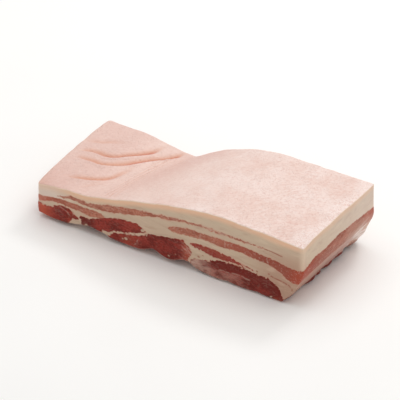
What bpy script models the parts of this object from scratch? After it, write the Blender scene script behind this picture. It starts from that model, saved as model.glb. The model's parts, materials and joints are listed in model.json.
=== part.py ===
"""Fresh pork belly joint, rind on: a slab of fat with sheets of lean muscle running through it.

Every position is worked out in slab coordinates: millimetres along the joint from its thin end,
millimetres across it from its front cut, and a height. top_height() and under_height() give the two
broad surfaces, and the lean sheets lie at shares of the top height, so they follow the rind. The
block and the sheets are subdivided cubes that these functions bend into shape.
"""

import math
from collections import namedtuple

import bmesh
import bpy
import numpy as np

MM = 0.001

# Driving sizes, in millimetres.
LENGTH = 284
WIDTH = 120
THIN_HEIGHT = 38.5
THICK_HEIGHT = 68
GAP = 0.3  # between the fat and each lean sheet

# The rind steps up from the thin end to the thick end. Each value is for the front and the back cut.
STEP_START = (56, 95)
STEP_LENGTH = (140, 110)
STEP_CURVE = (1.5, 2.0)
LOW_HEIGHT = (THIN_HEIGHT, 35.8)
CREASE_DIP = (0, 6.8)  # how far the rind sinks towards the foot of the step
CREASE_DIP_FROM = 35
THICK_END_DROOP = 2.4
BACK_SAG = (205, 2.2, 50)  # along, depth and half width of a hollow that deepens towards the back cut
THIN_END_DROOP = 2.2

# The thick end is cut on the slant: below this height the cut runs in under the fat.
SLANT_HEIGHT = 41
SLANT_DEPTH = (18, 20.5)  # at the front cut and, from SLANT_DEEPEST on, across the rest
SLANT_DEEPEST = 90
SLANT_REACH = 70
THIN_END_TUCK = (7, 11)  # how far the thin end's foot is tucked in, and up to what height
CORNER_RADII = {(0, 0): 6, (0, 1): 7, (1, 0): 2, (1, 1): 3}  # (thick end, back): radius in plan

# The rib side: furrows where the ribs lay, as (along, depth, half width), running front to back.
FURROWS = ((58, 5.0, 18), (124, 5.0, 9), (157, 5.5, 10), (203, 2.2, 9), (243, 1.8, 9))
RIB_SKEW = 10  # how far the ribs' run leans along the joint from front to back
EDGE_LIFT = 3.5
EDGE_REACH = 12
THICK_EDGE_LIFT = 0.6
THICK_END_LIFT = 5  # how far the slanted end's foot is off the table, most at this place across
THICK_END_LIFT_AT = 96
PRESSED_FLAT = 0.8

# Creases in the rind: (along, across) of both ends and of the middle, then depth.
RIND_CREASES = (
    (((6, 67), (33, 72), (65, 103)), 1.8),
    (((6, 58), (42, 61), (84, 107)), 2.0),
    (((18, 22), (40, 34), (63, 62)), 1.6),
)
CREASE_WIDTH = 4.8

# How finely the block is divided along, across and up: the thin end, with its creases, is finer. Then
# KEPT_SHARE of its triangles are kept, most of them where it curves most.
FINE_ALONG, COARSE_ALONG, FINE_TO = 44, 34, 98
ACROSS, UP = 48, 8
KEPT_SHARE = 0.16

# One lean sheet: its outline on the front cut as (along, upper share, lower share) of the top height,
# and how far its start and its end move along the joint from the front cut to the back.
LeanSheet = namedtuple("LeanSheet", "outline start_shift end_shift shift_within colour roughness")
BELOW = -0.3  # a share that reaches through the underside
PAST_END = 12  # an outline that starts or ends this far outside runs out through that end

PALE_LEAN = (0.56, 0.25, 0.19)
RED_LEAN = (0.42, 0.10, 0.075)
LEAN_SHEETS = {
    "lean_upper_streak": LeanSheet(
        ((23, 0.785, 0.755), (42, 0.85, 0.77), (80, 0.83, 0.695), (121, 0.815, 0.745), (160, 0.79, 0.753),
         (236, 0.785, 0.765)),
        7, 14, WIDTH, PALE_LEAN, 0.45),
    "lean_left_streak": LeanSheet(
        ((-PAST_END, 0.64, 0.52), (24, 0.715, 0.59), (45, 0.685, 0.535), (60, 0.70, 0.50),
         (69, 0.635, 0.515), (73, 0.595, 0.57)),
        0, -13, WIDTH, PALE_LEAN, 0.45),
    "lean_main_streak": LeanSheet(
        ((140, 0.59, 0.565), (150, 0.645, 0.565), (170, 0.65, 0.56), (240, 0.655, 0.50),
         (272, 0.595, 0.355), (LENGTH, 0.62, 0.44), (LENGTH + PAST_END, 0.62, 0.44)),
        -12, 0, WIDTH, PALE_LEAN, 0.45),
    "lean_short_streak": LeanSheet(
        ((168, 0.445, 0.42), (174, 0.47, 0.40), (188, 0.452, 0.35), (203, 0.43, 0.345), (229, 0.372, 0.352)),
        14, 12, WIDTH, RED_LEAN, 0.4),
    "rib_lean_left": LeanSheet(
        ((-PAST_END, 0.41, BELOW), (9, 0.395, BELOW), (25, 0.50, BELOW), (31, 0.495, 0.0), (36, 0.47, 0.26),
         (43, 0.36, 0.31)),
        0, RIB_SKEW, WIDTH, RED_LEAN, 0.38),
    "rib_lean_middle": LeanSheet(
        ((47, 0.36, BELOW), (58, 0.45, BELOW), (70, 0.48, 0.17), (89, 0.555, 0.295), (104, 0.535, 0.355),
         (112, 0.45, 0.42)),
        RIB_SKEW, RIB_SKEW, WIDTH, RED_LEAN, 0.38),
    "rib_lean_lower": LeanSheet(
        ((74, 0.13, BELOW), (84, 0.215, BELOW), (111, 0.31, BELOW), (137, 0.40, BELOW), (151, 0.435, BELOW),
         (160, 0.40, BELOW), (166, 0.27, BELOW)),
        RIB_SKEW, RIB_SKEW, WIDTH, RED_LEAN, 0.38),
    "rib_lean_right": LeanSheet(
        ((172, 0.10, BELOW), (181, 0.21, BELOW), (208, 0.305, BELOW), (250, 0.25, BELOW), (268, 0.13, BELOW),
         (LENGTH + PAST_END, 0.06, BELOW)),
        RIB_SKEW, 26, 60, RED_LEAN, 0.38),
}
SHEET_STEP = 8  # length of a sheet's divisions along the joint
SHEET_ACROSS = 8
SHEET_OVERRUN = 6  # how far a sheet is drawn past the front and back cuts before it is trimmed
SHEET_SWAY = 0.035  # how much the sheets rise and fall together from front to back
FAT_COLOUR = (0.86, 0.71, 0.62)


def mix(pair, share):
    """The value at this share of the way from pair's first to its second."""
    return pair[0] + (pair[1] - pair[0]) * share


def smooth(share):
    share = np.clip(share, 0, 1)
    return share * share * (3 - 2 * share)


def bump(distance, half_width):
    return np.exp(-((distance / half_width) ** 2))


def curve_through(positions, values, at):
    """A smooth curve through these values, level past both ends."""
    positions, values = np.asarray(positions, float), np.asarray(values, float)
    slopes = np.gradient(values, positions)
    i = np.clip(np.searchsorted(positions, at) - 1, 0, len(positions) - 2)
    step = positions[i + 1] - positions[i]
    t = np.clip((at - positions[i]) / step, 0, 1)
    return (
        (1 + 2 * t) * (1 - t) ** 2 * values[i]
        + t * (1 - t) ** 2 * step * slopes[i]
        + t * t * (3 - 2 * t) * values[i + 1]
        + t * t * (t - 1) * step * slopes[i + 1]
    )


def crease_depth(along, across):
    """How deep the rind's creases are: each lies on a curve bowed through its middle point."""
    depth = np.zeros_like(along)
    for (start, middle, end), deepest in RIND_CREASES:
        line = curve_through([p[0] for p in (start, middle, end)], [p[1] for p in (start, middle, end)], along)
        inside = smooth((along - start[0] + 8) / 16) * smooth((end[0] + 8 - along) / 16)
        depth = np.maximum(depth, deepest * inside * bump(across - line, CREASE_WIDTH))
    return depth


def top_height(along, across):
    """The rind: low at the thin end, a curved step, and then nearly level."""
    along, across = np.clip(along, 0, LENGTH), np.clip(across, 0, WIDTH)
    back = across / WIDTH
    start = mix(STEP_START, back)
    dip = mix(CREASE_DIP, back) * smooth((along - CREASE_DIP_FROM) / (start - CREASE_DIP_FROM))
    low = mix(LOW_HEIGHT, back) - dip - THIN_END_DROOP * (1 - smooth(along / 34)) * (1 - back)
    sag_at, sag_depth, sag_width = BACK_SAG
    high = THICK_HEIGHT - THICK_END_DROOP * smooth((along - 205) / (LENGTH - 205)) * (1 - 0.6 * back)
    high -= sag_depth * back * bump(along - sag_at, sag_width)
    climbed = np.clip((along - start) / mix(STEP_LENGTH, back), 0, 1)
    return low + (high - low) * (1 - (1 - climbed) ** mix(STEP_CURVE, back))


def under_height(along, across):
    """The rib side, with furrows, and lifted round its edges. What is below 0 is pressed flat on the table."""
    along, across = np.clip(along, 0, LENGTH), np.clip(across, 0, WIDTH)
    edge = np.maximum(bump(across, EDGE_REACH), bump(WIDTH - across, EDGE_REACH))
    ribs = sum(
        depth * bump(along - at - RIB_SKEW * across / WIDTH, half) for at, depth, half in FURROWS
    )
    lift = mix((EDGE_LIFT, THICK_EDGE_LIFT), smooth((along - 165) / 35)) * edge
    lift += ribs * (0.55 + 0.45 * edge) + 4 * bump(along, 7)
    lift += THICK_END_LIFT * bump(across - THICK_END_LIFT_AT, 32) * smooth((along - 225) / 50)
    return lift - PRESSED_FLAT


def cut_in(along, across, height):
    """How far the slanted thick end, and the tucked foot of the thin end, move a point along the joint."""
    slant_depth = mix(SLANT_DEPTH, np.clip(across / SLANT_DEEPEST, 0, 1))
    slant = slant_depth * np.clip(1 - height / SLANT_HEIGHT, 0, 1) ** 1.5
    tuck_depth, tuck_height = THIN_END_TUCK
    tuck = tuck_depth * np.clip(1 - height / tuck_height, 0, 1) ** 2
    return tuck * bump(np.clip(along, 0, LENGTH), 14) - slant * smooth((along - LENGTH + SLANT_REACH) / SLANT_REACH)


def round_corners(x, y):
    """Pulls what lies outside a rounded corner of the slab onto its arc."""
    for (end, back), radius in CORNER_RADII.items():
        middle_x, middle_y = abs(end * LENGTH - radius), abs(back * WIDTH - radius)
        from_x, from_y = x - middle_x, y - middle_y
        outside = (from_x * (2 * end - 1) > 0) & (from_y * (2 * back - 1) > 0)
        reach = np.maximum(np.hypot(from_x, from_y), 1e-6)
        pull = np.where(outside & (reach > radius), radius / reach, 1)
        x, y = middle_x + from_x * pull, middle_y + from_y * pull
    return x, y


def divided_cube(name, along, across, up):
    """A cube from 0 to 1 on each axis, with this many divisions along each, as an object."""
    bm = bmesh.new()
    bmesh.ops.create_cube(bm, size=1)
    bmesh.ops.translate(bm, verts=bm.verts, vec=(0.5, 0.5, 0.5))
    for axis, divisions in enumerate((along, across, up)):
        edges = [e for e in bm.edges if abs(e.verts[0].co[axis] - e.verts[1].co[axis]) > 1e-6]
        bmesh.ops.subdivide_edges(bm, edges=edges, cuts=divisions - 1, use_grid_fill=True)
    mesh = bpy.data.meshes.new(name)
    bm.to_mesh(mesh)
    bm.free()
    return bpy.data.objects.new(name, mesh)


def shares_of(obj):
    """Each vertex's place in its divided cube, as three arrays from 0 to 1."""
    points = np.empty(len(obj.data.vertices) * 3)
    obj.data.vertices.foreach_get("co", points)
    return points.reshape(-1, 3).T


def set_shape(obj, x, y, z):
    """Moves the vertices to these places, given from the slab's corner. The bent faces become triangles."""
    points = np.stack([x - LENGTH / 2, y - WIDTH / 2, z], axis=1) * MM
    obj.data.vertices.foreach_set("co", points.ravel())
    bm = bmesh.new()
    bm.from_mesh(obj.data)
    bmesh.ops.triangulate(bm, faces=bm.faces, quad_method="FIXED")
    bm.to_mesh(obj.data)
    bm.free()
    obj.data.shade_smooth()
    obj.data.set_sharp_from_angle(angle=math.radians(40))


def make_level_cutter(name):
    """A box whose top is the table, to trim what the joint's weight presses flat."""
    cutter = divided_cube(name, 1, 1, 1)
    share_along, share_across, share_up = shares_of(cutter)
    x, y = mix((-20, LENGTH + 20), share_along), mix((-20, WIDTH + 20), share_across)
    set_shape(cutter, x, y, mix((-20, 0), share_up))
    return cutter


def make_block(name, level_cutter):
    """The whole joint's outer form."""
    block = divided_cube(name, FINE_ALONG + COARSE_ALONG, ACROSS, UP)
    share_along, share_across, share_up = shares_of(block)
    fine_share = FINE_ALONG / (FINE_ALONG + COARSE_ALONG)
    along = np.interp(share_along, (0, fine_share, 1), (0, FINE_TO, LENGTH))
    across = share_across * WIDTH
    top = top_height(along, across) - crease_depth(along, across)
    under = under_height(along, across)
    height = under + (top - under) * share_up
    x, y = round_corners(along + cut_in(along, across, height), across)
    set_shape(block, x, y, height)
    thin_out = block.modifiers.new("thin_out", "DECIMATE")
    thin_out.ratio = KEPT_SHARE
    level = block.modifiers.new("level_foot", "BOOLEAN")
    level.operation = "DIFFERENCE"
    level.object = level_cutter
    return block


def make_sheet(name, sheet):
    """A lean sheet, drawn past the cuts that trim it."""
    starts, uppers, lowers = zip(*sheet.outline)
    span = starts[-1] - starts[0]
    obj = divided_cube(name, math.ceil(span / SHEET_STEP), SHEET_ACROSS, 1)
    share_along, share_across, share_up = shares_of(obj)
    across = mix((-SHEET_OVERRUN, WIDTH + SHEET_OVERRUN), share_across)
    drawn_along = starts[0] + span * share_along
    shifted = np.clip(across / sheet.shift_within, 0, 1)
    along = drawn_along + mix((sheet.start_shift, sheet.end_shift), share_along) * shifted
    sway = 1 + SHEET_SWAY * np.sin(2 * math.pi * np.clip(across, 0, WIDTH) / WIDTH)
    top = top_height(along, across) * sway
    upper = top * curve_through(starts, uppers, drawn_along)
    lower = top * curve_through(starts, lowers, drawn_along)
    height = np.where(share_up > 0.5, upper, lower)
    set_shape(obj, along + cut_in(along, across, height), across, height)
    return obj


def paint(obj, colour, roughness):
    material = bpy.data.materials.new(obj.name + "_material")
    material.use_nodes = True
    surface = material.node_tree.nodes["Principled BSDF"]
    surface.inputs["Base Color"].default_value = (*colour, 1)
    surface.inputs["Roughness"].default_value = roughness
    surface.inputs["Metallic"].default_value = 0
    obj.data.materials.clear()
    obj.data.materials.append(material)


def new_collection(name):
    collection = bpy.data.collections.new(name)
    bpy.context.scene.collection.children.link(collection)
    return collection


def hide_helper(obj):
    obj.hide_render = True
    obj.display_type = "WIRE"


def main():
    for obj in list(bpy.data.objects):
        bpy.data.objects.remove(obj)
    joint = new_collection("pork_belly_joint")
    helpers = new_collection("outer_form")
    cutters = new_collection("sheet_cutters")

    level_cutter = make_level_cutter("table_level_cutter")
    outer_form = make_block("joint_outer_form", level_cutter)
    for helper in (level_cutter, outer_form):
        helpers.objects.link(helper)
        hide_helper(helper)

    for name, sheet in LEAN_SHEETS.items():
        lean = make_sheet(name, sheet)
        paint(lean, sheet.colour, sheet.roughness)
        joint.objects.link(lean)
        trim = lean.modifiers.new("trim_to_cuts", "BOOLEAN")
        trim.operation = "INTERSECT"
        trim.object = outer_form

        cutter = make_sheet(name + "_cutter", sheet)
        cutters.objects.link(cutter)
        hide_helper(cutter)
        grow = cutter.modifiers.new("gap", "DISPLACE")
        grow.mid_level = 0
        grow.strength = GAP * MM

    fat = make_block("fat_and_rind", level_cutter)
    paint(fat, FAT_COLOUR, 0.4)
    joint.objects.link(fat)
    for cutter in cutters.objects:
        pocket = fat.modifiers.new("pocket_" + cutter.name, "BOOLEAN")
        pocket.operation = "DIFFERENCE"
        pocket.object = cutter


main()
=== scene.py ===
"""The looks of a fresh pork belly joint: scalded rind, back fat, and sheets of lean cut across by the knife.

Positions are in slab coordinates, as in the joint's solids: millimetres along the joint from its thin
end, across it from its front cut, and a height. One block is shaped finely, and the lean sheets are
drawn through it. What they share becomes the lean pieces, and what is left is the fat and rind. So
each streak fills its pocket exactly, and the outlines on every cut come from the same sheets.
"""

import json
import math
from collections import namedtuple

import bmesh
import bpy
import numpy as np
from bpy.props import FloatProperty, FloatVectorProperty, PointerProperty
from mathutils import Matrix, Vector, noise
from mathutils.bvhtree import BVHTree

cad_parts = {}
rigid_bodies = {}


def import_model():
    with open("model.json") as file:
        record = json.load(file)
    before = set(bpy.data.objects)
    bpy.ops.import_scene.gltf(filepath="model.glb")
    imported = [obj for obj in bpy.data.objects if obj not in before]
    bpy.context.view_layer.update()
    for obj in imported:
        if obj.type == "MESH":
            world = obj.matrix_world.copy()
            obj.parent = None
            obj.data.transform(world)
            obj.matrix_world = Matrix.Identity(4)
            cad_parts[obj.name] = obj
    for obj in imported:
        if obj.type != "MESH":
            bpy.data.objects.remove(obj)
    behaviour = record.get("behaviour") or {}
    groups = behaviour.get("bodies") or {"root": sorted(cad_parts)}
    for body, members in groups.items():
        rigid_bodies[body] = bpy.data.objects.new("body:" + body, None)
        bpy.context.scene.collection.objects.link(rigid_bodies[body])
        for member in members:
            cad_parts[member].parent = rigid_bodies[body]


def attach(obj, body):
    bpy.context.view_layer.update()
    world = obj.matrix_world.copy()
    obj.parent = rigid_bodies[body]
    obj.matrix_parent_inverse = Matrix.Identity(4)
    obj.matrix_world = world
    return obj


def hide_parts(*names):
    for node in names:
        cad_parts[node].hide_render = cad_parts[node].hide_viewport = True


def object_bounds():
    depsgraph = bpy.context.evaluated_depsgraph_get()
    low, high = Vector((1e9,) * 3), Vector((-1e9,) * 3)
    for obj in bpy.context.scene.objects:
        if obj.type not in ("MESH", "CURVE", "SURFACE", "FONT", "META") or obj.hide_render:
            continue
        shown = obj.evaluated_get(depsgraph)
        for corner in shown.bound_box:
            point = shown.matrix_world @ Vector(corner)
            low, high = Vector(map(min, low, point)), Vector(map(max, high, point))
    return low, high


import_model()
CAD_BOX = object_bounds()

bl_info = {
    "name": "Pork Belly Joint",
    "version": (1, 0, 0),
    "blender": (4, 5, 0),
    "location": "View3D > Sidebar > Pork Belly",
    "description": "Builds a raw pork belly joint with rind, fat and streaks of lean",
    "category": "Object",
}

MM = 0.001
AIM_LEFT, FLOOR_GAP = 5, 0.2  # how far left of the middle the camera looks, and how far down the floor lies
LENGTH, WIDTH, THICK_HEIGHT = (size / MM for size in CAD_BOX[1] - CAD_BOX[0])
CORNER = Vector((CAD_BOX[0].x, CAD_BOX[0].y, 0)) / MM

# The joint's form, in millimetres. Pairs are for the front and the back cut.
THIN_HEIGHT = 38.5
STEP_START, STEP_LENGTH, STEP_CURVE = (56, 95), (140, 110), (1.5, 2.0)
STEP_SOFT = (0.07, 0.03)  # how softly the step begins
LOW_HEIGHT = (THIN_HEIGHT, 35.8)
CREASE_DIP, CREASE_DIP_FROM = (0, 6.8), 35
THICK_END_DROOP, DROOP_FROM, THIN_END_DROOP = 2.6, 195, 2.2
BACK_SAG = (205, 2.2, 50)
SLANT_HEIGHT, SLANT_DEPTH, SLANT_DEEPEST, SLANT_REACH = 41, (20, 23), 40, 70
# The thin end's tuck at its foot, as (depth, height), and how far it leans inwards below a height.
THIN_END_TUCK, THIN_END_LEAN, THIN_LEAN_HEIGHT = (5, 9), 1.3, 32
CORNER_RADII = {(0, 0): 5, (0, 1): 7, (1, 0): 2.0, (1, 1): 2}
CORNER_DROOP = (1.8, 20)  # the rind's droop at the thin end's front corner, and its reach
RIND_SWELL = (0.6, 1.6)  # how far the rind's skin stands above the fat's form
# Lumps of lean that stand out along the foot of the thick end: (across, half width, height).
FOOT_LUMPS, FOOT_BULGE = ((42, 7, 7), (55, 5, 4.5), (70, 6.5, 7), (87, 8, 8), (109, 9, 8)), 3.2
# The back corner's lump and the front corner's rounded foot: (share, across, half width, height, half height).
FOOT_CORNERS = ((0.8, WIDTH, 7, 9, 11), (-1.1, 0, 8, 0, 10))
FURROWS = ((58, 5.0, 18), (124, 5.0, 9), (157, 5.5, 10), (203, 2.2, 9), (243, 1.8, 9))
RIB_SKEW = 10
EDGE_LIFT, EDGE_REACH, THICK_EDGE_LIFT = 3.5, 12, 0.6
THICK_END_LIFT, THICK_END_LIFT_AT = 5, 96
PRESSED_FLAT = 0.8

# How far each long edge is rolled over: the rind's edges on the four cuts, then those of the rib side.
RIND_ROLL = {"front": 1.5, "back": 1.8, "thin": 2.4, "thick": 1.2}
RIB_ROLL = 2.2
THICK_LIP = (0.2, 5)  # the rind's droop just at the thick end, and its reach

# Creases in the rind: (along, across, depth) points, how red the painted shade at the crease's bottom is, and
# from where along.
CREASES = (
    (((3, 61, 0), (10, 65, 0.9), (20, 67.8, 1.2), (31, 67, 1.8), (40, 70.4, 2.4), (47, 78, 2.4),
      (55, 88, 2.1), (61, 97, 1.3), (66, 106, 0)), 0.95, 24),
    (((5, 50, 0), (12, 52, 0.8), (24, 53, 1.3), (37, 53.6, 2.0), (43, 56.8, 1.9), (51, 64.2, 1.4),
      (58, 74, 1.6), (65.5, 86, 2.2), (75, 99, 2.4), (85, 113, 0.2)), 1.0, 48),
    (((14, 19, 0), (24, 21, 0.8), (32, 23, 1.4), (40, 25.8, 1.8), (47, 30.4, 1.7), (54, 38.5, 1.3),
      (58.5, 49.5, 0.8), (63, 63, 0)), 0.35, 24),
    (((-2, 78, 0), (6, 80, 0.6), (15, 83.4, 0.75), (25, 90, 0.6), (38, 94, 0)), 0.2, 0),
    (((38, 8, 0), (42, 11, 0.4), (47, 17.4, 0.45), (52, 23.5, 0.3), (57, 31, 0)), 0.1, 0),
)
CREASE_FRONT, CREASE_BACK = 1.0, 5.0  # width of its steep front wall and of its gentle back wall
CREASE_RIDGE = 0.42  # height of the ridge in front of it, as a share of its depth
# Fine pleats that run over the step from the front and draw together at its foot at the back cut.
PLEAT_FOOT, PLEAT_SPACING, PLEAT_GATHER, PLEAT_DEPTH = 94, 4.8, 0.62, 0.34
THIN_END_BOW = 2.6  # how far the thin end bulges in plan

# How finely the block is divided, in millimetres.
FINE_STEP, COARSE_STEP, FINE_TO = 0.95, 1.6, 100
ACROSS_STEP, UP_STEP, EDGE_STEP = 1.1, 1.8, 0.45

# One lean sheet: its outline on the front cut as (along, top, bottom) in millimetres, how far its start
# and end move along the joint by shift_within across, the size and height of the lumps on its edges,
# and how far its cut face stands proud of the fat. Without a bottom, it reaches BELOW, through the rib side.
Sheet = namedtuple("Sheet", "outline start_shift end_shift shift_within lump fray proud")
BELOW = -15
PAST_END = 12  # an outline that starts or ends this far outside runs out through that end
TIP_LENGTH = 4
SHEETS = {
    "lean_upper_streak": Sheet(
        ((22, 29.6, 29), (36, 33.4, 30.2), (57, 33.4, 29.7), (68, 36.2, 29.7), (79, 39.6, 31.8), (89, 41.8, 34.4),
         (100, 43.3, 36.4), (111, 45.2, 39.8), (122, 46.6, 42.6), (128, 46.9, 44.6), (133, 48, 44.6),
         (148, 50, 47), (159, 50.8, 48.6), (169, 51.6, 49.6), (180, 52.2, 50.2), (195, 52.4, 50.5),
         (212, 52, 50.1), (228, 51.9, 50.5), (243, 51.6, 50.6)),
        7, 14, WIDTH, 2.2, 0.5, 0.25),
    "lean_left_streak": Sheet(
        ((-PAST_END, 23, 17.6), (4, 23.2, 17.8), (14, 25.4, 20.8), (25, 27.2, 21.9), (36, 26.9, 21.1),
         (47, 26.8, 20.6), (57, 27.2, 19.6), (66, 27, 20.9), (73, 25.6, 22.6)),
        0, -13, WIDTH, 3.2, 0.3, 0.3),
    "lean_main_streak": Sheet(
        ((139.5, 38.4, 35.6), (148, 41, 35.3), (159, 42.7, 36), (169, 43.5, 36.6), (180, 44.2, 37.9),
         (191, 45, 37.2), (202, 45.1, 36.9), (212, 44.9, 37.6), (223, 45, 37.4), (234, 44.6, 36.8),
         (244, 43.5, 36), (254, 42.2, 34), (262, 41.2, 31), (269, 40.2, 27), (277, 40.2, 24.4), (284, 41, 25.6),
         (284 + PAST_END, 41, 28)),
        -12, 0, WIDTH, 3.4, 0.32, 0.35),
    "lean_short_streak": Sheet(
        ((163, 28.4, 26.8), (167, 30.2, 26.2), (172, 30.6, 25.4), (180, 31.2, 24.2), (190, 31, 22.8),
         (200, 29.6, 22.9), (209, 27.6, 23.5), (217, 26, 23.9), (224, 25.3, 24.2), (231, 24.7, 24)),
        14, 12, WIDTH, 3, 0.28, 0.3),
    "rib_lean_left": Sheet(
        ((-PAST_END, 15.4), (4, 15.2), (10, 14.2), (16, 15.6), (22, 19), (28, 20.2), (32, 19.8), (35, 18.6, 4.5),
         (36.5, 17.8, 9.6), (40, 15.8, 10.4), (44.5, 12.8, 10.8)),
        0, RIB_SKEW, WIDTH, 3.6, 0.3, 0.4),
    "rib_lean_middle": Sheet(
        ((45.5, 15.8, 12.6), (47.4, 16.4, 10.8), (49.2, 16.6), (62, 18.4), (69, 21.6, 8.4), (76, 24.6, 9.6),
         (84, 27, 13.4), (92, 28.2, 15.6), (100, 29.2, 17.8), (107, 29, 19.6), (113, 26.4, 21.4),
         (118, 24, 22.2)),
        RIB_SKEW, RIB_SKEW, WIDTH, 4, 0.35, 0.5),
    "rib_lean_lower": Sheet(
        ((72, 4.6), (77, 7), (83, 10.8), (91, 13.4), (101, 15.4), (108, 17), (112, 19), (117, 21.4), (124, 24),
         (131, 25.4), (139, 26.6), (147, 28.2), (153, 29.2), (157.6, 28.6), (159.4, 26), (161.4, 24.4, 9),
         (163.4, 23.6, 12.4), (165.6, 22.4, 16)),
        RIB_SKEW, RIB_SKEW, WIDTH, 4.5, 0.6, 0.6),
    "rib_lean_right": Sheet(
        ((164.5, 11.4), (168, 13.2), (172, 14.2), (178, 15.6), (185, 17.4), (194, 20.4), (207, 22.2), (223, 21.8),
         (236, 21.4), (250.5, 20.6), (261, 17.2), (270.5, 12.8), (278, 7.6), (284, 3), (284 + PAST_END, 1.5)),
        RIB_SKEW, 26, 60, 4.5, 0.5, 0.5),
}
SHEET_STEP = 0.8
FRAY = 1.1  # how far fibres of lean fray into the fat
RIND_COVER = 4.2  # the least fat and rind over a sheet, which the creases stay clear of
# Where the sheets are divided across the joint, and more finely for the one that ends in the foot's lumps.
SHEET_PLACES = (-6, -1.5, 0.5, 3, 9, 20, 35, 52, 70, 88, 102, 112, 118, 121, 126)
LUMPY_SHEET, LUMPY_PLACES = "rib_lean_right", (-6, -1.5, 0.5, *range(3, 120, 3), 120.5, 126)
# How much higher than on the front cut the sheets lie, by their place across.
SHEET_SWAY = ((0, 1), (5, 1.02), (16, 1.08), (30, 1.08), (57, 1.125), (84, 1.105), (108, 1.065), (120, 1.035))
# The pale seam that parts the dark upper lean from the paler lower lean at the front cut, near the thick end.
PARTING = ((176, 13.5), (183, 12.8), (195, 11.6), (207, 12.4), (219, 13.1), (229.5, 12.6), (243.5, 11.6),
           (256, 8.4), (270, 4), (281, 1.5))
STREAKS, RIB_LEANS = tuple(SHEETS)[:4], tuple(SHEETS)[4:]
REDS = ("lean_short_streak", *RIB_LEANS)
MARKS = ("dried", "dark", "redder", "skinned")  # how the lean may differ from place to place

# Hairlines and spots of lean in the fat of the front cut: (along, height) points, and (along, height, radius).
FAT_LINES = (
    ((243, 51), (252, 50.6), (262, 49.6)),
    ((252, 25.4), (257.5, 24.1), (267, 22.6), (275.7, 20.9), (280, 18.6), (282.4, 16)),
    ((205, 22), (214, 22.3), (223, 22.6)),
)
FAT_SPOTS = ((236.5, 24.6, 1.5), (250, 26.5, 1.6), (173, 17.4, 1.6), (177, 20.3, 1.2), (169, 25.2, 1))
# Seams and spots of fat in the lean of the front cut.
LEAN_LINES = (
    ((146.5, 38), (148, 41.5)),
    ((174, 37.5), (175.2, 41), (174.6, 44)),
    ((199.6, 45.5), (201.4, 38)),
    ((204, 40.5), (206.5, 42.5), (208.2, 41.2)),
    ((245.2, 43), (246.4, 40.5), (248, 37)),
    ((24, 18.4), (30, 16.8), (36, 13.6)),
    PARTING[2:-4],
    ((104, 6), (107, 10), (109, 13)),
)
LEAN_SPOTS = (
    (53, 8.8, 1.5), (95.5, 9.8, 1.8), (92, 8.6, 1), (113.6, 24.6, 2), (141.5, 7.6, 1.2), (269, 2.4, 1.8),
    (149, 11.5, 0.9), (156, 6.4, 1), (118, 20.8, 1),
)


class BellySizes(bpy.types.PropertyGroup):
    crease_scale: FloatProperty(
        name="Creases", description="Depth of the rind's creases, as a share of their usual depth",
        default=1.0, min=0, max=2)
    unevenness: FloatProperty(
        name="Unevenness", description="Height of the gentle lumps all over the joint",
        default=0.4 * MM, min=0, max=2 * MM, unit="LENGTH")
    knife_marks: FloatProperty(
        name="Knife marks", description="Height of the ripples that the knife leaves on the cuts",
        default=0.12 * MM, min=0, max=MM, unit="LENGTH")
    rind_thickness: FloatProperty(
        name="Rind thickness", description="Depth of the tan band of skin that the cuts show",
        default=2.6 * MM, min=MM, max=4 * MM, unit="LENGTH")
    pore_spacing: FloatProperty(
        name="Pore spacing", description="Distance between the bristle pores in the rind",
        default=1.6 * MM, min=MM, max=5 * MM, unit="LENGTH")


class BellyColours(bpy.types.PropertyGroup):
    pass


class StageSettings(bpy.types.PropertyGroup):
    azimuth: FloatProperty(
        name="Azimuth", description="Where the camera stands round the joint",
        default=math.radians(32.6), unit="ROTATION")
    elevation: FloatProperty(
        name="Elevation", description="How high the camera looks down from",
        default=math.radians(33.6), unit="ROTATION")
    view_width: FloatProperty(
        name="View width", description="Width of what the camera sees at the joint",
        default=0.36, min=0.1, unit="LENGTH")
    light: FloatProperty(
        name="Light", description="Brightness of the studio lights", default=1.0, min=0, max=4)


def hex_to_linear(text):
    """The linear colour of an sRGB hex value."""
    shares = [int(text[i : i + 2], 16) / 255 for i in (1, 3, 5)]
    return tuple(s / 12.92 if s <= 0.04045 else ((s + 0.055) / 1.055) ** 2.4 for s in shares)


# Colours that a user may change: name, description and sRGB value.
COLOURS = {
    "rind": ("Rind", "Scalded rind, the most of it", "#EBCFC4"),
    "rind_bright": ("Rind, pale", "The palest blotches of the rind", "#F4E1DA"),
    # The blush colour is also laid as painted shade on the step.
    "rind_blush": ("Rind, blush", "Pinker rind on the step and at the thin end", "#DDB2A6"),
    # The two crease colours are painted shade: tan on a crease's back wall and in the pleats' grooves, red along
    # a crease's bottom.
    "crease_shade": ("Crease", "Skin inside the creases", "#D99E82"),
    "crease_bottom_shade": ("Crease bottom", "The reddest line of a crease", "#CC7862"),
    "rind_edge": ("Rind rim", "The cream rim where the rind is cut", "#F0D6BC"),
    "rind_band": ("Rind band", "The cut rind's tan band", "#EFBF9D"),
    "fat": ("Fat", "Back fat on the cuts", "#CFB79D"),
    "fat_deep": ("Fat, deep", "Fat between the streaks", "#B8937C"),
    "fat_pink": ("Fat, pink", "Fat that touches lean", "#CC9C86"),
    "pale_lean": ("Pale lean", "Streaks of pale lean", "#BD7A63"),
    "pale_lean_deep": ("Pale lean, deep", "Darker fibres of the pale streaks", "#A05A45"),
    "red_lean": ("Red lean", "Lean of the rib side", "#9C382D"),
    "red_lean_dark": ("Red lean, dark", "The darkest of the rib side's lean", "#6E1E14"),
    "orange_lean": ("Orange lean", "Lean near the ends, dried a little", "#C0583F"),
    "streak_red": ("Streak, red", "The main streak towards the thick end", "#A5503E"),
    "membrane": ("Membrane", "Silver skin and connective tissue", "#CDB09F"),
    "floor": ("Floor", "The plain floor", "#FCFBF9"),
}
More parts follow.
